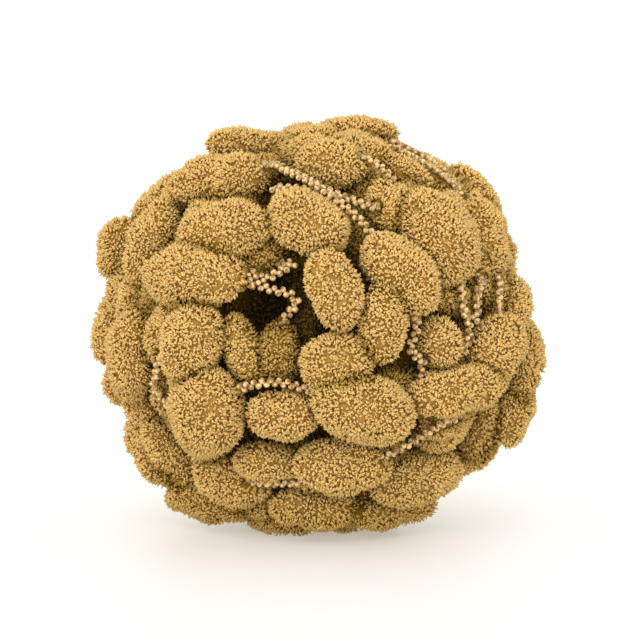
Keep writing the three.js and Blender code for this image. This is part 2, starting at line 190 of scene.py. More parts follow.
def laid_far(near):
    middles, axes, halves = (np.stack(part) for part in zip(*near))
    for stage, (length, width) in enumerate(FAR_SIZES):
        for i in range(FAR_TRIES):
            elevation = math.degrees(math.asin(1 - 2 * (i + 0.5) / FAR_TRIES))
            azimuth = (i * GOLDEN_ANGLE + SIZE_SHIFT * stage) % 360 - 180
            wobble = math.sin(WOBBLE_PER_SPOT * (i + 1) + WOBBLE_PER_SIZE * stage)
            way = direction(azimuth, elevation)
            near_side = way[1] < FAR_SIDE
            low_right = way[2] < LOW_RIGHT[0] and way[0] > LOW_RIGHT[1]
            if way[1] < NEAR_MIDDLE or (near_side and stage == 0) or low_right:
                continue
            if any(way @ direction(a, e) > math.cos(math.radians(w)) for a, e, w in LEFT_OPEN):
                continue
            wide = width * (1 - 0.06 * wobble)
            long = length * (1 + 0.08 * wobble)
            shell = 1 / np.linalg.norm(way / FAR_SHELL)
            pressed = (PRESSED_REACH - FLATNESS * wide / 2) / -way[2]
            sunk = NEAR_SINK if near_side else 0
            out = pressed if way[2] < UNDERSIDE else shell + 2 * wobble - 1.5 * stage - sunk
            for k in range(4):
                turn = (k * TURN_STEP + 90 * wobble + SPOT_TURN * i) % 180 - 90
                middle, axis, half = placed((azimuth, elevation, out, turn, long, wide, 0))
                way_to = middles - middle
                distance = np.linalg.norm(way_to, axis=1)
                unit = way_to / distance[:, None]
                own = 1 / np.linalg.norm(unit @ axis.T / half, axis=1)
                theirs = 1 / np.linalg.norm(np.einsum("nij,nj->ni", axes, unit) / halves, axis=1)
                too_close = (FAR_CLOSENESS - 0.02 * stage) * (own + theirs)
                clash = (distance <= LONGEST_REACH) & (distance < too_close)
                if not clash.any():
                    middles = np.concatenate([middles, middle[None]])
                    axes = np.concatenate([axes, axis[None]])
                    halves = np.concatenate([halves, half[None]])
                    break
    return middles, axes, halves


near_groups = [
    TOP_POMPOMS, LEFT_POMPOMS, HOLLOW_POMPOMS, MIDDLE_POMPOMS, RIGHT_POMPOMS, BOTTOM_POMPOMS,
]
middles, axes, halves = laid_far([placed(row) for group in near_groups for row in group])
print("pompoms", len(middles))

# Where the bare strand shows between the pompoms. Rows give azimuth, elevation and distance from
# the middle of the ball along each stretch that shows. The pile is pressed aside along it, and
# both ends go on into the nearest pompom.
STRAND_HALF_WIDTH = 2.1
TUCKED_IN = 3.0
STRAND_SHADE = 0.5
CHAINS = [
    [(-23.5, -14.4, 75), (-18.5, -12.6, 75.5), (-13.3, -11.9, 75), (-7.8, -12.3, 75),
     (-2.5, -13.9, 75)],
    [(-20.1, 18, 75), (-18, 17.7, 73.7), (-15.8, 16.9, 72.3), (-11.5, 20, 70.5), (-8, 22.3, 69)],
    [(-21.4, 15.8, 76), (-17.5, 14.8, 74.5), (-13.6, 13.7, 73), (-9.1, 13.1, 71.5), (-6.5, 10.6, 70),
     (-8.2, 8.4, 68.5), (-10.8, 5.7, 67)],
    [(-24.5, 53.8, 76), (-19.3, 52.5, 77), (-11.2, 48.4, 78), (-3.8, 44.9, 79), (2.5, 40.6, 79.5),
     (8.3, 35.9, 79.5), (11.9, 32.7, 79), (16.6, 27.8, 77)],
    [(-16.9, 43.5, 77), (-6.7, 43.6, 76.3), (1.1, 43.8, 76), (10, 40.6, 76), (17.7, 37.5, 76)],
    [(20.1, 55.6, 77.8), (24.4, 54.2, 77.8), (29.5, 47, 77.6)],
    [(81.7, 66.9, 75), (82.6, 62.9, 75), (83.2, 58.2, 75.2), (83.6, 53.4, 75.4), (83.8, 48.8, 75.4),
     (84, 43.7, 75.2)],
    [(63.3, 65.1, 74), (66.3, 61.3, 74.2), (69, 56.8, 74.5), (71, 52, 74.8), (72.3, 47.5, 75),
     (73.4, 42.4, 75)],
    [(42.8, 14.9, 78), (42.4, 9.5, 78), (43, 5.1, 78), (44.4, 1.3, 78), (42.3, -4.5, 78)],
    [(61.4, 12.9, 78), (59.1, 8.4, 78), (58.7, 3.5, 78)],
    [(51.6, 14.2, 78.5), (48.4, 11.1, 78.5), (47.7, 7.5, 78.5), (46.1, 3.9, 78.5)],
    [(26.8, 6.5, 77), (27, 2.2, 76.7), (25.2, -2, 76.5), (27, -4.8, 75.7), (29.8, -6.5, 75.3),
     (29.6, -9.9, 75)],
    [(21.3, -32.9, 79.6), (28.8, -28.4, 80), (37.2, -23.7, 80), (43.4, -22.5, 79.6)],
    [(-26.9, -47, 75.8), (-14, -46.7, 75.8), (-7.6, -45.5, 75.8)],
    [(-49.2, -8, 78), (-51.6, -12, 78), (-53.7, -14.9, 78), (-52.4, -17.6, 77.5), (-50, -20.6, 76.5)],
    [(150, 30, 78), (160, 36, 79), (172, 38, 79), (184, 35, 78)],
    [(200, -5, 79), (210, -14, 80), (216, -24, 79)],
    [(165, -20, 79), (178, -25, 80), (190, -22, 79)],
    [(130, 5, 79), (128, -6, 80.5), (133, -16, 79)],
    [(-105, 35, 78), (-115, 42, 79), (-128, 44, 78)],
    [(-120, -8, 79), (-128, -15, 80.5), (-138, -17, 79)],
]


def tucked(at):
    way = middles - at
    distance = np.linalg.norm(way, axis=1)
    way /= distance[:, None]
    gap = distance - 1 / np.linalg.norm(np.einsum("nij,nj->ni", axes, way) / halves, axis=1)
    nearest = np.argmin(gap)
    return at + way[nearest] * (gap[nearest] + TUCKED_IN)


def smooth_route(row, per_span=6):
    fixed = [BALL_MIDDLE + out * direction(az, el) for az, el, out in row]
    fixed = [tucked(fixed[0])] + fixed + [tucked(fixed[-1])]
    fixed = [2 * fixed[0] - fixed[1]] + fixed + [2 * fixed[-1] - fixed[-2]]
    made = []
    for p, q, r, s in zip(fixed, fixed[1:], fixed[2:], fixed[3:]):
        for t in np.arange(per_span) / per_span:
            made.append(0.5 * (
                2 * q + (r - p) * t + (2 * p - 5 * q + 4 * r - s) * t * t
                + (3 * q - p - 3 * r + s) * t ** 3
            ))
    made.append(fixed[-2])
    return made


routes = [np.array(smooth_route(row)) for row in CHAINS]

# The pile of a pompom: short blunt tufts that stand out of its body and lean this way and that.
# Shade is painted into its colour: a tuft is painted darker at its root, the ground between
# the tufts darker still, and the pile is painted darker in the seams between pompoms, beside
# the bare strand, deep in the ball and near the table.
PILE_DEPTH = 1.7
TUFT_SPACING = 0.55
TUFT_LENGTH = 2.6
TUFT_WIDTH = 1.15
TUFT_BEND = 1.0
FAR_COARSENESS = 1.35
RIM_DEPTH = 14.0
SWIRL_SIZE = 11.0
CLUMP_SIZE = 4.5
LUMP_SIZE = 9.0
LUMP_HEIGHT = 2.2
SEAM_WIDTH = 3.0
SEAM_SHADE = 0.5
LOWEST_PILE = 0.05
# The ground between the tufts is painted in shade with a low tone.
GROUND_SHADE_TONE = -3.2
LOW_REACH = 20.0
LOW_SHADE = 0.35
LIGHT_REACH = 76
LIGHT_FADE = 11
BALL_SQUASH = np.array([1, 1, 0.94])
# The root colour is darker than the rest: painted shade between the tufts.
ROOT_COLOUR = (0.46, 0.26, 0.055, 1)
MIDDLE_COLOUR = (0.70, 0.45, 0.135, 1)
TIP_COLOUR = (0.60, 0.402, 0.145, 1)


def new_object(name, mesh):
    made = bpy.data.objects.new(name, mesh)
    bpy.context.scene.collection.objects.link(made)
    return made


def add(tree, kind, **settings):
    made = tree.nodes.new(kind)
    for name, value in settings.items():
        setattr(made, name, value)
    return made


def tuft_mesh():
    bulge = 0.1
    half = TUFT_WIDTH / 2
    points = [(0, 0, 0), (bulge, half, 0.7), (bulge, -half, 0.7), (TUFT_BEND, 0, 1)]
    points = [(x * MM, y * MM, z * TUFT_LENGTH * MM) for x, y, z in points]
    heights = [0.0, 0.75, 0.75, 1.0]
    faces = [(0, 2, 1), (0, 1, 3), (0, 3, 2), (1, 2, 3)]
    mesh = bpy.data.meshes.new("tuft")
    mesh.from_pydata(points, [], faces)
    mesh.polygons.foreach_set("use_smooth", [True] * len(faces))
    mesh.attributes.new("height", "FLOAT", "POINT").data.foreach_set("value", heights)
    return mesh


def pile_material(name, root, middle, tip):
    made = bpy.data.materials.new(name)
    made.use_nodes = True
    tree = made.node_tree
    shader = tree.nodes["Principled BSDF"]
    shader.inputs["Roughness"].default_value = 0.85
    shader.inputs["Specular IOR Level"].default_value = 0.06
    shader.inputs["Sheen Weight"].default_value = 0.04
    shader.inputs["Sheen Roughness"].default_value = 0.45
    shader.inputs["Sheen Tint"].default_value = (1.0, 0.86, 0.62, 1)
    link = tree.links.new
    height = add(tree, "ShaderNodeAttribute", attribute_name="height")
    tone = add(tree, "ShaderNodeAttribute", attribute_name="tone")
    place = add(tree, "ShaderNodeTexCoord")
    ramp = add(tree, "ShaderNodeValToRGB")
    ramp.color_ramp.elements[0].color = root
    ramp.color_ramp.elements[1].color = tip
    ramp.color_ramp.elements[1].position = 0.97
    ramp.color_ramp.elements.new(0.38).color = middle
    link(height.outputs["Fac"], ramp.inputs["Fac"])
    # Each tuft a little lighter or darker than the next, and soft patches of more and less dye.
    # The ground between the tufts has a much lower tone: painted shade.
    patches = add(tree, "ShaderNodeTexNoise")
    patches.inputs["Scale"].default_value = 70.0
    patches.inputs["Detail"].default_value = 2.0
    link(place.outputs["Object"], patches.inputs["Vector"])
    value = add(tree, "ShaderNodeMath", operation="MULTIPLY_ADD")
    value.inputs[1].default_value = 0.12
    value.inputs[2].default_value = 0.84
    link(tone.outputs["Fac"], value.inputs[0])
    patch = add(tree, "ShaderNodeMath", operation="MULTIPLY_ADD")
    patch.inputs[1].default_value = 0.3
    link(patches.outputs["Fac"], patch.inputs[0])
    link(value.outputs[0], patch.inputs[2])
    grain = add(tree, "ShaderNodeTexNoise")
    grain.inputs["Scale"].default_value = 1300.0
    grain.inputs["Detail"].default_value = 1.0
    link(place.outputs["Object"], grain.inputs["Vector"])
    fine = add(tree, "ShaderNodeMath", operation="MULTIPLY_ADD")
    fine.inputs[1].default_value = 0.28
    link(grain.outputs["Fac"], fine.inputs[0])
    link(patch.outputs[0], fine.inputs[2])
    # Painted shade: darker and richer in colour deep in the ball, in the seams between pompoms,
    # beside the bare strand and near the table.
    deep = add(tree, "ShaderNodeAttribute", attribute_name="deep")
    light = add(tree, "ShaderNodeMath", operation="MULTIPLY_ADD")
    light.inputs[1].default_value = -0.93
    light.inputs[2].default_value = 1.0
    link(deep.outputs["Fac"], light.inputs[0])
    reached = add(tree, "ShaderNodeMath", operation="MULTIPLY")
    link(fine.outputs[0], reached.inputs[0])
    link(light.outputs[0], reached.inputs[1])
    richer = add(tree, "ShaderNodeMath", operation="MULTIPLY_ADD")
    richer.inputs[1].default_value = 0.22
    richer.inputs[2].default_value = 1.0
    link(deep.outputs["Fac"], richer.inputs[0])
    dye_and_painted_shade = add(tree, "ShaderNodeHueSaturation")
    link(richer.outputs[0], dye_and_painted_shade.inputs["Saturation"])
    link(ramp.outputs["Color"], dye_and_painted_shade.inputs["Color"])
    link(reached.outputs[0], dye_and_painted_shade.inputs["Value"])
    link(dye_and_painted_shade.outputs["Color"], shader.inputs["Base Color"])
    # Fine fibres.
    fibres = add(tree, "ShaderNodeTexNoise")
    fibres.inputs["Scale"].default_value = 2600.0
    fibres.inputs["Detail"].default_value = 1.0
    link(place.outputs["Object"], fibres.inputs["Vector"])
    bump = add(tree, "ShaderNodeBump")
    bump.inputs["Strength"].default_value = 0.25
    bump.inputs["Distance"].default_value = 0.0003
    link(fibres.outputs["Fac"], bump.inputs["Height"])
    link(bump.outputs["Normal"], shader.inputs["Normal"])
    return made


def pile_tree():
    tree = bpy.data.node_groups.new("pile", "GeometryNodeTree")
    kinds = {
        "Body": "NodeSocketGeometry",
        "Tuft": "NodeSocketObject",
        "Pile": "NodeSocketMaterial",
        "Tuft spacing": "NodeSocketFloat",
        "Tuft size": "NodeSocketFloat",
        "Swirl size": "NodeSocketFloat",
        "Clump size": "NodeSocketFloat",
        "Swirl": "NodeSocketFloat",
        "Clump": "NodeSocketFloat",
        "Lean": "NodeSocketFloat",
        "Seed": "NodeSocketInt",
    }
    for name, kind in kinds.items():
        tree.interface.new_socket(name=name, in_out="INPUT", socket_type=kind)
    tree.interface.new_socket(name="Pompoms", in_out="OUTPUT", socket_type="NodeSocketGeometry")
    link = tree.links.new
    given = add(tree, "NodeGroupInput")
    result = add(tree, "NodeGroupOutput")
    spots = add(tree, "GeometryNodeDistributePointsOnFaces", distribute_method="POISSON")
    spots.inputs["Density Max"].default_value = 6.0e6
    link(given.outputs["Body"], spots.inputs["Mesh"])
    link(given.outputs["Tuft spacing"], spots.inputs["Distance Min"])
    link(given.outputs["Seed"], spots.inputs["Seed"])
    shown = add(tree, "GeometryNodeInputNamedAttribute", data_type="FLOAT")
    shown.inputs["Name"].default_value = "shown"
    link(shown.outputs["Attribute"], spots.inputs["Density Factor"])
    # Which way a tuft leans: with its neighbours in wide swirls, towards them in small clumps,
    # and a little on its own.
    lay = spots.outputs["Normal"]
    for size, strength, at in [("Swirl size", "Swirl", 0.0), ("Clump size", "Clump", 3.0)]:
        place = add(tree, "GeometryNodeInputPosition")
        per_size = add(tree, "ShaderNodeMath", operation="DIVIDE")
        per_size.inputs[0].default_value = 1.0
        link(given.outputs[size], per_size.inputs[1])
        wave = add(tree, "ShaderNodeTexNoise", noise_dimensions="4D")
        wave.inputs["Detail"].default_value = 0.0
        wave.inputs["W"].default_value = at
        link(place.outputs["Position"], wave.inputs["Vector"])
        link(per_size.outputs[0], wave.inputs["Scale"])
        centred = add(tree, "ShaderNodeVectorMath", operation="SUBTRACT")
        centred.inputs[1].default_value = (0.5, 0.5, 0.5)
        link(wave.outputs["Color"], centred.inputs[0])
        pull = add(tree, "ShaderNodeVectorMath", operation="SCALE")
        link(centred.outputs["Vector"], pull.inputs[0])
        link(given.outputs[strength], pull.inputs["Scale"])
        summed = add(tree, "ShaderNodeVectorMath", operation="ADD")
        link(lay, summed.inputs[0])
        link(pull.outputs["Vector"], summed.inputs[1])
        lay = summed.outputs["Vector"]
    stray = add(tree, "FunctionNodeRandomValue", data_type="FLOAT_VECTOR")
    stray.inputs["Min"].default_value = (-1, -1, -1)
    stray.inputs["Max"].default_value = (1, 1, 1)
    leaning = add(tree, "ShaderNodeVectorMath", operation="SCALE")
    link(stray.outputs["Value"], leaning.inputs[0])
    link(given.outputs["Lean"], leaning.inputs["Scale"])
    way = add(tree, "ShaderNodeVectorMath", operation="ADD")
    link(lay, way.inputs[0])
    link(leaning.outputs["Vector"], way.inputs[1])
    stand = add(tree, "FunctionNodeAlignRotationToVector", axis="Z")
    link(way.outputs["Vector"], stand.inputs["Vector"])
    spin = add(tree, "FunctionNodeRandomValue", data_type="FLOAT")
    spin.inputs[3].default_value = 2 * math.pi
    spin.inputs["Seed"].default_value = 5
    about = add(tree, "FunctionNodeAxisAngleToRotation")
    about.inputs["Axis"].default_value = (0, 0, 1)
    link(spin.outputs[1], about.inputs["Angle"])
    turned = add(tree, "FunctionNodeRotateRotation", rotation_space="LOCAL")
    link(stand.outputs["Rotation"], turned.inputs["Rotation"])
    link(about.outputs["Rotation"], turned.inputs["Rotate By"])
    size = add(tree, "FunctionNodeRandomValue", data_type="FLOAT_VECTOR")
    size.inputs["Min"].default_value = (0.8, 0.8, 0.7)
    size.inputs["Max"].default_value = (1.25, 1.25, 1.15)
    size.inputs["Seed"].default_value = 9
    sized = add(tree, "ShaderNodeVectorMath", operation="SCALE")
    link(size.outputs["Value"], sized.inputs[0])
    link(given.outputs["Tuft size"], sized.inputs["Scale"])
    tuft = add(tree, "GeometryNodeObjectInfo")
    link(given.outputs["Tuft"], tuft.inputs["Object"])
    tufts = add(tree, "GeometryNodeInstanceOnPoints")
    link(spots.outputs["Points"], tufts.inputs["Points"])
    link(tuft.outputs["Geometry"], tufts.inputs["Instance"])
    link(turned.outputs["Rotation"], tufts.inputs["Rotation"])
    link(sized.outputs["Vector"], tufts.inputs["Scale"])
    random_tone = add(tree, "FunctionNodeRandomValue", data_type="FLOAT")
    random_tone.inputs["Seed"].default_value = 13
    kept = add(tree, "GeometryNodeStoreNamedAttribute", data_type="FLOAT", domain="INSTANCE")
    kept.inputs["Name"].default_value = "tone"
    link(tufts.outputs["Instances"], kept.inputs["Geometry"])
    link(random_tone.outputs[1], kept.inputs["Value"])
    # A tuft takes the painted shade of the place it stands in.
    deep = add(tree, "GeometryNodeInputNamedAttribute", data_type="FLOAT")
    deep.inputs["Name"].default_value = "deep"
    sunk = add(tree, "GeometryNodeStoreNamedAttribute", data_type="FLOAT", domain="INSTANCE")
    sunk.inputs["Name"].default_value = "deep"
    link(kept.outputs["Geometry"], sunk.inputs["Geometry"])
    link(deep.outputs["Attribute"], sunk.inputs["Value"])
    loose = add(tree, "GeometryNodeRealizeInstances")
    link(sunk.outputs["Geometry"], loose.inputs["Geometry"])
    whole = add(tree, "GeometryNodeJoinGeometry")
    link(given.outputs["Body"], whole.inputs["Geometry"])
    link(loose.outputs["Geometry"], whole.inputs["Geometry"])
    coloured = add(tree, "GeometryNodeSetMaterial")
    link(whole.outputs["Geometry"], coloured.inputs["Geometry"])
    link(given.outputs["Pile"], coloured.inputs["Material"])
    link(coloured.outputs["Geometry"], result.inputs["Pompoms"])
    return tree


def run_tree(made, tree, values):
    worker = made.modifiers.new("grow", "NODES")
    worker.node_group = tree
    for socket in tree.interface.items_tree:
        if socket.in_out == "INPUT" and socket.name in values:
            worker[socket.identifier] = values[socket.name]
    bpy.context.view_layer.update()
    scene_state = bpy.context.evaluated_depsgraph_get()
    grown = bpy.data.meshes.new_from_object(
        made.evaluated_get(scene_state), preserve_all_data_layers=True, depsgraph=scene_state
    )
    made.modifiers.remove(worker)
    made.data = grown
    grown.name = made.name


def round_points(steps):
    start = bpy.data.meshes.new("round")
    shape = bmesh.new()
    bmesh.ops.create_icosphere(shape, subdivisions=steps, radius=1.0)
    shape.to_mesh(start)
    shape.free()
    points = np.zeros(len(start.vertices) * 3)
    start.vertices.foreach_get("co", points)
    faces = np.zeros(len(start.polygons) * 3, int)
    start.polygons.foreach_get("vertices", faces)
    bpy.data.meshes.remove(start)
    return points.reshape(-1, 3), faces.reshape(-1, 3)


def mesh_of(name, points, faces, values):
    mesh = bpy.data.meshes.new(name)
    mesh.from_pydata((points * MM).tolist(), [], faces.tolist())
    mesh.polygons.foreach_set("use_smooth", [True] * len(faces))
    for key, value in values.items():
        kept = mesh.attributes.new(key, "FLOAT", "POINT")
        kept.data.foreach_set("value", np.asarray(value, float))
    return mesh


def inside_pompoms(points, skip=-1, grow=0.0):
    found = np.zeros(len(points), bool)
    for i in range(len(middles)):
        if i == skip:
            continue
        away = points - middles[i]
        near = np.abs(away).max(axis=1) < halves[i][0] + grow
        if near.any():
            found[near] |= np.linalg.norm(away[near] @ axes[i].T / (halves[i] + grow), axis=1) < 1
    return found


def next_pompom(points):
    nearest, second = np.full((2, len(points)), 9.0)
    for middle, axis, half in zip(middles, axes, halves):
        away = points - middle
        near = np.abs(away).max(axis=1) < half[0] + SEAM_WIDTH
        gap = np.linalg.norm(away[near], axis=1)
        gap *= 1 - 1 / np.linalg.norm(away[near] @ axis.T / half, axis=1)
        second[near] = np.minimum(second[near], np.maximum(gap, nearest[near]))
        nearest[near] = np.minimum(nearest[near], gap)
    return second


# The strand presses on the pile this many half widths out, and on what lies over it closer in.
PRESSED_WIDTHS = 2.2
OVER_WIDTHS = 1.6
PUSHED_DOWN = 1.3


def press_aside(points):
    """Moves the pile off the bare strand and says how close to it each point ends, from 0 to 1."""
    close = np.zeros(len(points))
    margin = PRESSED_WIDTHS * STRAND_HALF_WIDTH
    for route in routes:
        low, high = route.min(0) - margin, route.max(0) + margin
        beside = np.flatnonzero(((points > low) & (points < high)).all(axis=1))
        for at in route if len(beside) else []:
            away = points[beside] - at
            near = np.abs(away).max(axis=1) < margin
            away = away[near]
            outward = (at - BALL_MIDDLE) / np.linalg.norm(at - BALL_MIDDLE)
            proud = np.maximum(away @ outward, 0)
            over = np.linalg.norm(away, axis=1) < OVER_WIDTHS * STRAND_HALF_WIDTH
            away -= PUSHED_DOWN * proud[:, None] * outward * over[:, None]
            length = np.maximum(np.linalg.norm(away, axis=1), 0.01)
            held = np.maximum(length, STRAND_HALF_WIDTH)
            away *= (held / length)[:, None]
            points[beside[near]] = at + away
            reach = np.clip(PRESSED_WIDTHS - held / STRAND_HALF_WIDTH, 0, 1)
            close[beside[near]] = np.maximum(close[beside[near]], reach)
    return close


def finish_pile(mesh):
    points = np.zeros(len(mesh.vertices) * 3)
    mesh.vertices.foreach_get("co", points)
    points = points.reshape(-1, 3) / MM
    deep = np.zeros(len(points))
    mesh.attributes["deep"].data.foreach_get("value", deep)
    # Painted shade in the seams between pompoms, beside the bare strand and near the table, added to
    # the painted shade deep in the ball.
    seam = np.clip(1 - next_pompom(points) / SEAM_WIDTH, 0, 1)
    low = np.clip(1 - points[:, 2] / LOW_REACH, 0, 1)
    lit = (1 - deep) * (1 - SEAM_SHADE * seam)
    lit *= 1 - STRAND_SHADE * press_aside(points)
    lit *= 1 - LOW_SHADE * low
    mesh.attributes["deep"].data.foreach_set("value", 1 - lit)
    points[:, 2] = np.maximum(points[:, 2], LOWEST_PILE)
    mesh.vertices.foreach_set("co", (points * MM).ravel())


# Painted shade deep in the ball: 0 from LIGHT_REACH mm out from the middle, 1 from LIGHT_FADE mm
# further in.
def depth_shade(points):
    away = np.linalg.norm((points - BALL_MIDDLE) / BALL_SQUASH, axis=1)
    return np.clip((LIGHT_REACH - away) / LIGHT_FADE, 0, 1)


ball_points, ball_faces = round_points(3)
tuft = new_object("tuft", tuft_mesh())
pile = pile_material("golden pile", ROOT_COLOUR, MIDDLE_COLOUR, TIP_COLOUR)
grow_pile = pile_tree()
lay_of_pile = {
    "Tuft": tuft,
    "Pile": pile,
    "Swirl size": SWIRL_SIZE * MM,
    "Clump size": CLUMP_SIZE * MM,
    "Swirl": 2.0,
    "Clump": 2.4,
}
sides = ["top", "left", "hollow", "middle", "right", "bottom"]
ends = np.cumsum([0] + [len(group) for group in near_groups])
groups = [(side, list(range(a, b)), 1.0) for side, a, b in zip(sides, ends, ends[1:])]
rest = ends[-1] + np.argsort(middles[ends[-1]:, 1])
on_rim = middles[rest, 1] < RIM_DEPTH
for kind, parts, coarseness in [
    ("rim", np.array_split(rest[on_rim], 3), 1.0),
    ("far", np.array_split(rest[~on_rim], 5), FAR_COARSENESS),
]:
    groups += [(f"{kind}_{k + 1}", list(part), coarseness) for k, part in enumerate(parts)]
spent = 0
for name, members, coarseness in groups:
    points, faces, shown = [], [], []
    for i in members:
        body_half = halves[i] - PILE_DEPTH
        here = middles[i] + (ball_points * body_half) @ axes[i]
        out = (ball_points / body_half) @ axes[i]
        out /= np.linalg.norm(out, axis=1)[:, None]
        lumps = np.array([noise.noise(Vector(point / LUMP_SIZE)) for point in here])
        here += out * (LUMP_HEIGHT * lumps)[:, None]
        tips = here + out * (PILE_DEPTH * 0.9)
        hidden = inside_pompoms(tips, skip=i, grow=-0.8) | (tips[:, 2] < 1.2)
        here[:, 2] = np.maximum(here[:, 2], 0.3)
        faces.append(ball_faces + len(ball_points) * len(points))
        points.append(here)
        shown.append(~hidden)
    points, faces, shown = np.concatenate(points), np.concatenate(faces), np.concatenate(shown)
    values = {
        "shown": shown,
        "deep": depth_shade(points),
        # The bodies are the ground between the tufts: root colour and a low tone, painted shade.
        "height": np.full(len(points), 0.04),
        "tone": np.full(len(points), GROUND_SHADE_TONE),
    }
    piece = new_object(f"pompoms_{name}", mesh_of(name, points, faces, values))
    run_tree(piece, grow_pile, {
        **lay_of_pile,
        "Tuft spacing": TUFT_SPACING * coarseness * MM,
        "Tuft size": coarseness,
        "Lean": 0.8,
        "Seed": int(members[0]),
    })
    finish_pile(piece.data)
    spent += len(piece.data.polygons)
    print(piece.name, len(piece.data.polygons))
    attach(piece, "root")
    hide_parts("yarn_ball")

# The inner turns. Under the outer pompoms lie the earlier turns of the same strand, seen only in
# the gaps and in the deep hollow of the open side, where next to no light reaches them.
INNER_SPACING = 1.5
INNER_COARSENESS = 1.4
INNER_LEAN = 0.3
INNER_SEED = 77
CORE = np.array([68.0, 68.0, 63.0])
SCOOP = {"azimuth": -12, "elevation": 6, "out": 67, "half": np.array([19.0, 18.0, 22.0])}
core_points, core_faces = round_points(5)
scoop_middle, scoop_axes, _ = placed((SCOOP["azimuth"], SCOOP["elevation"], SCOOP["out"], 0, 1, 1, 0))
ways = core_points / np.linalg.norm(core_points, axis=1)[:, None]
reach = 1 / np.linalg.norm(ways / (CORE - PILE_DEPTH), axis=1)
from_scoop = (BALL_MIDDLE - scoop_middle) @ scoop_axes.T / (SCOOP["half"] + PILE_DEPTH)
step = ways @ scoop_axes.T / (SCOOP["half"] + PILE_DEPTH)
a = (step * step).sum(1)
b = step @ from_scoop
c = from_scoop @ from_scoop - 1
gap = b * b - a * c
entry = np.where(gap > 0, (-b - np.sqrt(np.maximum(gap, 0))) / a, np.inf)
reach = np.minimum(reach, np.where(entry > 0, entry, np.inf))
core_at = BALL_MIDDLE + ways * reach[:, None]
flat_core = mesh_of("inner", core_at, core_faces, {})
core_normals = np.zeros(len(core_at) * 3)
flat_core.vertices.foreach_get("normal", core_normals)
core_normals = core_normals.reshape(-1, 3)
bpy.data.meshes.remove(flat_core)
core_tips = core_at + core_normals * PILE_DEPTH
values = {
    "shown": (~inside_pompoms(core_tips, grow=-0.5)).astype(float),
    # Painted shade: the inner turns are painted half dark or darker, and darker the deeper they lie.
    "deep": np.maximum(depth_shade(core_at), np.where(entry > 0, 0.5, 1.0)),
    "height": np.zeros(len(core_at)),
    "tone": np.zeros(len(core_at)),
}
inner = new_object("inner_turns", mesh_of("inner", core_at, core_faces, values))
run_tree(inner, grow_pile, {
    **lay_of_pile,
    "Tuft spacing": INNER_SPACING * MM,
    "Tuft size": INNER_COARSENESS,
    "Lean": INNER_LEAN,
    "Seed": INNER_SEED,
})
spent += len(inner.data.polygons)
print(inner.name, len(inner.data.polygons), "in all", spent)
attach(inner, "root")
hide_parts("yarn_ball")
bpy.data.objects.remove(tuft)

# The chain. Between two pompoms the bare strand shows: a braid of two rows of small round beads
# of hard-twisted yarn, paler than the pile.
BEAD_RADIUS = 1.16
BEAD_PITCH = 3.0
ROW_SPACING = 1.5


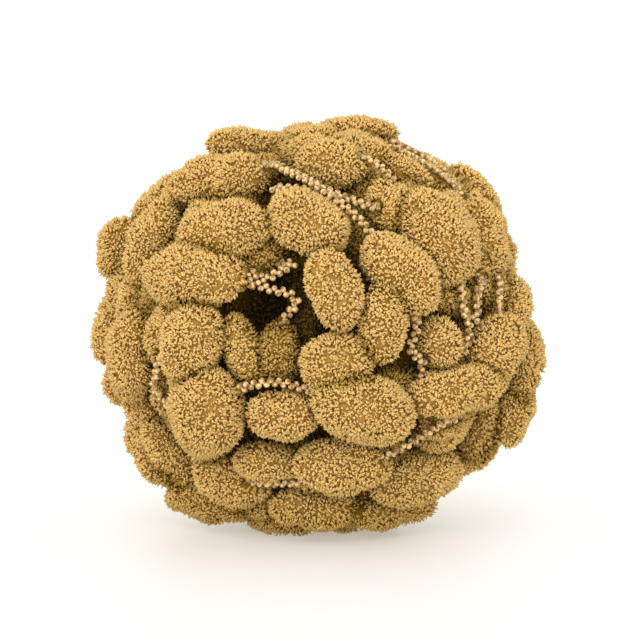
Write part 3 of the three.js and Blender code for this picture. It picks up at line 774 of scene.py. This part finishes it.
def chain_tree():
    tree = bpy.data.node_groups.new("chain", "GeometryNodeTree")
    kinds = {
        "Strand": "NodeSocketGeometry",
        "Chain": "NodeSocketMaterial",
        "Bead radius": "NodeSocketFloat",
        "Bead pitch": "NodeSocketFloat",
        "Row spacing": "NodeSocketFloat",
        "Ball middle": "NodeSocketVector",
    }
    for name, kind in kinds.items():
        tree.interface.new_socket(name=name, in_out="INPUT", socket_type=kind)
    tree.interface.new_socket(name="Beads", in_out="OUTPUT", socket_type="NodeSocketGeometry")
    link = tree.links.new
    given = add(tree, "NodeGroupInput")
    result = add(tree, "NodeGroupOutput")
    line = add(tree, "GeometryNodeMeshToCurve")
    link(given.outputs["Strand"], line.inputs["Mesh"])
    half_pitch = add(tree, "ShaderNodeMath", operation="MULTIPLY")
    half_pitch.inputs[1].default_value = 0.5
    link(given.outputs["Bead pitch"], half_pitch.inputs[0])
    even = add(tree, "GeometryNodeResampleCurve", mode="LENGTH")
    link(line.outputs["Curve"], even.inputs["Curve"])
    link(half_pitch.outputs[0], even.inputs["Length"])
    # Every second bead sits in the other row.
    along = add(tree, "GeometryNodeInputTangent")
    at = add(tree, "GeometryNodeInputPosition")
    outward = add(tree, "ShaderNodeVectorMath", operation="SUBTRACT")
    link(at.outputs["Position"], outward.inputs[0])
    link(given.outputs["Ball middle"], outward.inputs[1])
    across = add(tree, "ShaderNodeVectorMath", operation="CROSS_PRODUCT")
    link(along.outputs["Tangent"], across.inputs[0])
    link(outward.outputs["Vector"], across.inputs[1])
    side = add(tree, "ShaderNodeVectorMath", operation="NORMALIZE")
    link(across.outputs["Vector"], side.inputs[0])
    number = add(tree, "GeometryNodeInputIndex")
    odd = add(tree, "ShaderNodeMath", operation="MODULO")
    odd.inputs[1].default_value = 2
    link(number.outputs["Index"], odd.inputs[0])
    sign = add(tree, "ShaderNodeMath", operation="SUBTRACT")
    sign.inputs[1].default_value = 0.5
    link(odd.outputs[0], sign.inputs[0])
    offset = add(tree, "ShaderNodeMath", operation="MULTIPLY")
    link(sign.outputs[0], offset.inputs[0])
    link(given.outputs["Row spacing"], offset.inputs[1])
    shift = add(tree, "ShaderNodeVectorMath", operation="SCALE")
    link(side.outputs["Vector"], shift.inputs[0])
    link(offset.outputs[0], shift.inputs["Scale"])
    rows = add(tree, "GeometryNodeSetPosition")
    link(even.outputs["Curve"], rows.inputs["Geometry"])
    link(shift.outputs["Vector"], rows.inputs["Offset"])
    bead = add(tree, "GeometryNodeMeshIcoSphere")
    bead.inputs["Subdivisions"].default_value = 2
    link(given.outputs["Bead radius"], bead.inputs["Radius"])
    size = add(tree, "FunctionNodeRandomValue", data_type="FLOAT")
    size.inputs[2].default_value = 0.9
    size.inputs[3].default_value = 1.08
    size.inputs["Seed"].default_value = 3
    beads = add(tree, "GeometryNodeInstanceOnPoints")
    link(rows.outputs["Geometry"], beads.inputs["Points"])
    link(bead.outputs["Mesh"], beads.inputs["Instance"])
    link(size.outputs[1], beads.inputs["Scale"])
    loose = add(tree, "GeometryNodeRealizeInstances")
    link(beads.outputs["Instances"], loose.inputs["Geometry"])
    smooth = add(tree, "GeometryNodeSetShadeSmooth")
    link(loose.outputs["Geometry"], smooth.inputs["Geometry"])
    coloured = add(tree, "GeometryNodeSetMaterial")
    link(smooth.outputs["Geometry"], coloured.inputs["Geometry"])
    link(given.outputs["Chain"], coloured.inputs["Material"])
    link(coloured.outputs["Geometry"], result.inputs["Beads"])
    return tree


def chain_material():
    made = bpy.data.materials.new("twisted chain")
    made.use_nodes = True
    tree = made.node_tree
    link = tree.links.new
    shader = tree.nodes["Principled BSDF"]
    shader.inputs["Roughness"].default_value = 0.6
    shader.inputs["Sheen Weight"].default_value = 0.05
    shader.inputs["Sheen Tint"].default_value = (1.0, 0.85, 0.6, 1)
    place = add(tree, "ShaderNodeTexCoord")
    # Random dark and pale patches over the beads: the dark ones are painted shade for the gaps
    # between the twists, the pale ones the yarn's own pale gold.
    mottle_and_shade = add(tree, "ShaderNodeTexNoise")
    mottle_and_shade.inputs["Scale"].default_value = 800.0
    mottle_and_shade.inputs["Detail"].default_value = 2.0
    link(place.outputs["Object"], mottle_and_shade.inputs["Vector"])
    ramp = add(tree, "ShaderNodeValToRGB")
    ramp.color_ramp.elements[0].position = 0.38
    ramp.color_ramp.elements[0].color = (0.22, 0.11, 0.03, 1)
    ramp.color_ramp.elements[1].position = 0.60
    ramp.color_ramp.elements[1].color = (0.79, 0.55, 0.23, 1)
    link(mottle_and_shade.outputs["Fac"], ramp.inputs["Fac"])
    link(ramp.outputs["Color"], shader.inputs["Base Color"])
    twist = add(tree, "ShaderNodeTexNoise")
    twist.inputs["Scale"].default_value = 2200.0
    link(place.outputs["Object"], twist.inputs["Vector"])
    bump = add(tree, "ShaderNodeBump")
    bump.inputs["Strength"].default_value = 0.6
    bump.inputs["Distance"].default_value = 0.0003
    link(twist.outputs["Fac"], bump.inputs["Height"])
    link(bump.outputs["Normal"], shader.inputs["Normal"])
    return made


strand_points, strand_edges = [], []
for route in routes:
    start = len(strand_points)
    strand_points += [tuple(p * MM) for p in route]
    strand_edges += [(start + k, start + k + 1) for k in range(len(route) - 1)]
strand = bpy.data.meshes.new("chain")
strand.from_pydata(strand_points, strand_edges, [])
chain = new_object("bead_chain", strand)
run_tree(chain, chain_tree(), {
    "Chain": chain_material(),
    "Bead radius": BEAD_RADIUS * MM,
    "Bead pitch": BEAD_PITCH * MM,
    "Row spacing": ROW_SPACING * MM,
    "Ball middle": tuple(BALL_MIDDLE * MM),
})
print(chain.name, len(chain.data.polygons))
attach(chain, "root")
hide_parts("yarn_ball")

# The table and the light: a white sweep that runs back and up behind the ball, soft light that
# comes low from the front and a little from the left, and even light from all round.
SWEEP_FRONT = -5.0
SWEEP_BACK = 2.5
SWEEP_RADIUS = 1.5
SWEEP_HEIGHT = 6.0
SWEEP_HALF_WIDTH = 6.0
LIGHT_AZIMUTH = -10
LIGHT_ELEVATION = 18
profile = [(SWEEP_FRONT, 0.0)]
for k in range(13):
    turn = math.pi / 2 * k / 12
    profile.append((SWEEP_BACK + SWEEP_RADIUS * math.sin(turn), SWEEP_RADIUS * (1 - math.cos(turn))))
profile.append((SWEEP_BACK + SWEEP_RADIUS, SWEEP_HEIGHT))
sweep_points = [(side * SWEEP_HALF_WIDTH, y, z) for y, z in profile for side in (-1, 1)]
sweep_faces = [(2 * k, 2 * k + 1, 2 * k + 3, 2 * k + 2) for k in range(len(profile) - 1)]
sweep_mesh = bpy.data.meshes.new("sweep")
sweep_mesh.from_pydata(sweep_points, [], sweep_faces)
sweep_mesh.polygons.foreach_set("use_smooth", [True] * len(sweep_faces))
sweep = new_object("sweep", sweep_mesh)
paper = bpy.data.materials.new("white paper")
paper.use_nodes = True
surface = paper.node_tree.nodes["Principled BSDF"].inputs
surface["Base Color"].default_value = (0.50, 0.50, 0.51, 1)
surface["Emission Color"].default_value = (1.0, 0.95, 0.82, 1)
surface["Emission Strength"].default_value = 0.4
surface["Roughness"].default_value = 0.5
surface["Specular IOR Level"].default_value = 0.4
sweep_mesh.materials.append(paper)

room = bpy.data.worlds.new("room")
bpy.context.scene.world = room
room.use_nodes = True
all_round = room.node_tree.nodes["Background"].inputs
all_round["Color"].default_value = (1.0, 1.0, 1.0, 1)
all_round["Strength"].default_value = 1.14
lamp = bpy.data.lights.new("window", "SUN")
lamp.energy = 2.2
lamp.angle = math.radians(70)
window = bpy.data.objects.new("window", lamp)
bpy.context.scene.collection.objects.link(window)
shining = Vector(-direction(LIGHT_AZIMUTH, LIGHT_ELEVATION))
window.rotation_euler = shining.to_track_quat("-Z", "Y").to_euler()
bpy.context.scene.view_settings.view_transform = "Standard"
